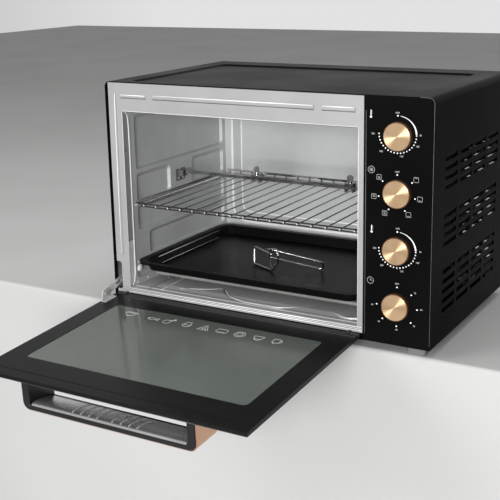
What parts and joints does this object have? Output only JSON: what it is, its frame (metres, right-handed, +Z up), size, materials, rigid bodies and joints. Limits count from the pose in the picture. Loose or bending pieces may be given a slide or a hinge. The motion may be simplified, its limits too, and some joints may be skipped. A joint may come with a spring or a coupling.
{
  "type": "countertop electric convection oven",
  "caption": "Countertop convection oven with drop-down glass door, wire rack, baking tray, rotisserie spit and a side control panel with round knobs.",
  "frame": {"origin": "bottom centre of the whole object's box with the door fully open; the box bottom is the lowest point of the open door's handle, 37.8 mm below the soles of the feet", "axes": "+X to the viewer's right, -Y out of the front (door side), +Z up"},
  "size_m": [0.54, 0.6646, 0.4038],
  "materials": {
    "casing_black": "semi-gloss black enamel",
    "galvanised": "satin zinc-grey sheet",
    "silver_frame": "satin silver",
    "panel_black": "fine satin black",
    "cavity_grey": "satin aluminised sheet",
    "steel": "satin",
    "chrome": "bright",
    "heater": "heat-tinted satin",
    "ceramic": "glazed white",
    "enamel_black": "gloss black enamel",
    "glass": "clear tempered glass with a light mirror tint",
    "copper": "brushed copper finish",
    "handle_black": "satin black",
    "grip_grey": "satin silver-grey",
    "foot_grey": "matt",
    "control_plastic": "matt ivory",
    "zinc": "zinc plated",
    "copper_wire": "bare"
  },
  "bodies": {
    "oven_body": {"casing_wrap": "casing_black", "back_cover": "galvanised", "base_pan": "casing_black", "feet": "foot_grey", "front_frame": "silver_frame", "control_panel": "panel_black", "cavity_wall_left": "cavity_grey", "cavity_wall_right": "cavity_grey", "cavity_roof": "cavity_grey", "cavity_back": "cavity_grey", "cavity_floor": "cavity_grey", "heat_shield": "galvanised", "upper_heaters": "heater", "lower_heaters": "heater", "heater_insulators": "ceramic", "heater_clips": "steel", "rotisserie_motor": "zinc", "fan_motor": "zinc", "thermostats": "zinc", "function_switch": "control_plastic", "timer_unit": "zinc", "control_screws": "zinc", "sensor_bulbs": "copper_wire", "terminal_block": "control_plastic", "cord_gland": "foot_grey", "spit_support": "steel", "support_screws": "zinc", "hinge_pins": "zinc", "door_spring": "steel", "arm_guide": "galvanised", "casing_screws": "zinc"},
    "door": {"door_surround": "enamel_black", "door_glass": "glass", "door_trim": "casing_black", "door_hinge_lugs": "steel", "door_arm_bracket": "zinc", "handle_body": "handle_black", "handle_cover": "copper", "handle_grip": "grip_grey", "handle_screws": "zinc"},
    "hinge_arm": {"hinge_arm": "zinc"},
    "upper_heat_knob": {"knob_upper_heat": "copper", "shaft_upper_heat": "zinc"},
    "function_knob": {"knob_function": "copper", "shaft_function": "zinc"},
    "lower_heat_knob": {"knob_lower_heat": "copper", "shaft_lower_heat": "zinc"},
    "timer_knob": {"knob_timer": "copper", "shaft_timer": "zinc"},
    "rack": {"rack_frame": "chrome", "rack_wires": "chrome"},
    "tray": {"baking_tray": "enamel_black"},
    "tool": {"tray_tool": "chrome"},
    "spit": {"spit_socket": "steel", "spit_rod": "chrome"},
    "fork_left": {"fork_left": "chrome"},
    "fork_right": {"fork_right": "chrome"},
    "thumbscrew_left": {"thumbscrew_left": "chrome"},
    "thumbscrew_right": {"thumbscrew_right": "chrome"},
    "fan": {"fan_rotor": "zinc"}
  },
  "joints": [
    {"name": "door_hinge", "type": "hinge", "parent": "oven_body", "child": "door", "pos_m": [-0.047, -0.01415, 0.06036], "axis": [-1, 0, 0], "range_deg": [0, 93], "deforming": ["door_spring"]},
    {"name": "arm_pivot", "type": "hinge", "parent": "door", "child": "hinge_arm", "pos_m": [-0.2609, -0.04973, 0.07031], "axis": [1, 0, 0], "range_deg": [0, 109.2]},
    {"name": "upper_heat_knob_turn", "type": "hinge", "parent": "oven_body", "child": "upper_heat_knob", "pos_m": [0.2205, -0.01873, 0.35041], "axis": [0, 1, 0], "range_deg": [0, 270]},
    {"name": "function_knob_turn", "type": "hinge", "parent": "oven_body", "child": "function_knob", "pos_m": [0.2205, -0.01873, 0.27191], "axis": [0, 1, 0], "range_deg": [0, 308.57]},
    {"name": "lower_heat_knob_turn", "type": "hinge", "parent": "oven_body", "child": "lower_heat_knob", "pos_m": [0.2205, -0.01873, 0.19201], "axis": [0, 1, 0], "range_deg": [0, 270]},
    {"name": "timer_knob_turn", "type": "hinge", "parent": "oven_body", "child": "timer_knob", "pos_m": [0.2205, -0.01873, 0.11131], "axis": [0, 1, 0], "range_deg": [0, 270]},
    {"name": "rack_slide", "type": "slide", "parent": "oven_body", "child": "rack", "axis": [0, -1, 0], "range_m": [0, 0.3]},
    {"name": "tray_slide", "type": "slide", "parent": "oven_body", "child": "tray", "axis": [0, -1, 0], "range_m": [0, 0.3]},
    {"name": "tool_lift", "type": "slide", "parent": "tray", "child": "tool", "axis": [0, -0.9659, 0.2588], "range_m": [0, 0.34]},
    {"name": "spit_turn", "type": "hinge", "parent": "oven_body", "child": "spit", "pos_m": [-0.037, 0.14027, 0.23681], "axis": [1, 0, 0], "continuous": true},
    {"name": "fork_left_slide", "type": "slide", "parent": "spit", "child": "fork_left", "axis": [1, 0, 0], "range_m": [-0.12, 0.015]},
    {"name": "fork_right_slide", "type": "slide", "parent": "spit", "child": "fork_right", "axis": [1, 0, 0], "range_m": [-0.015, 0.06]},
    {"name": "thumbscrew_left_turn", "type": "hinge", "parent": "fork_left", "child": "thumbscrew_left", "pos_m": [-0.086, 0.14027, 0.24681], "axis": [0, 0, 1], "continuous": true},
    {"name": "thumbscrew_right_turn", "type": "hinge", "parent": "fork_right", "child": "thumbscrew_right", "pos_m": [0.0803, 0.14027, 0.24681], "axis": [0, 0, 1], "continuous": true},
    {"name": "fan_turn", "type": "hinge", "parent": "oven_body", "child": "fan", "pos_m": [0.176, 0.19527, 0.30281], "axis": [1, 0, 0], "continuous": true}
  ],
  "couplings": [
    {"joint": "arm_pivot", "follows": "door_hinge", "ratio": 1.172}
  ]
}
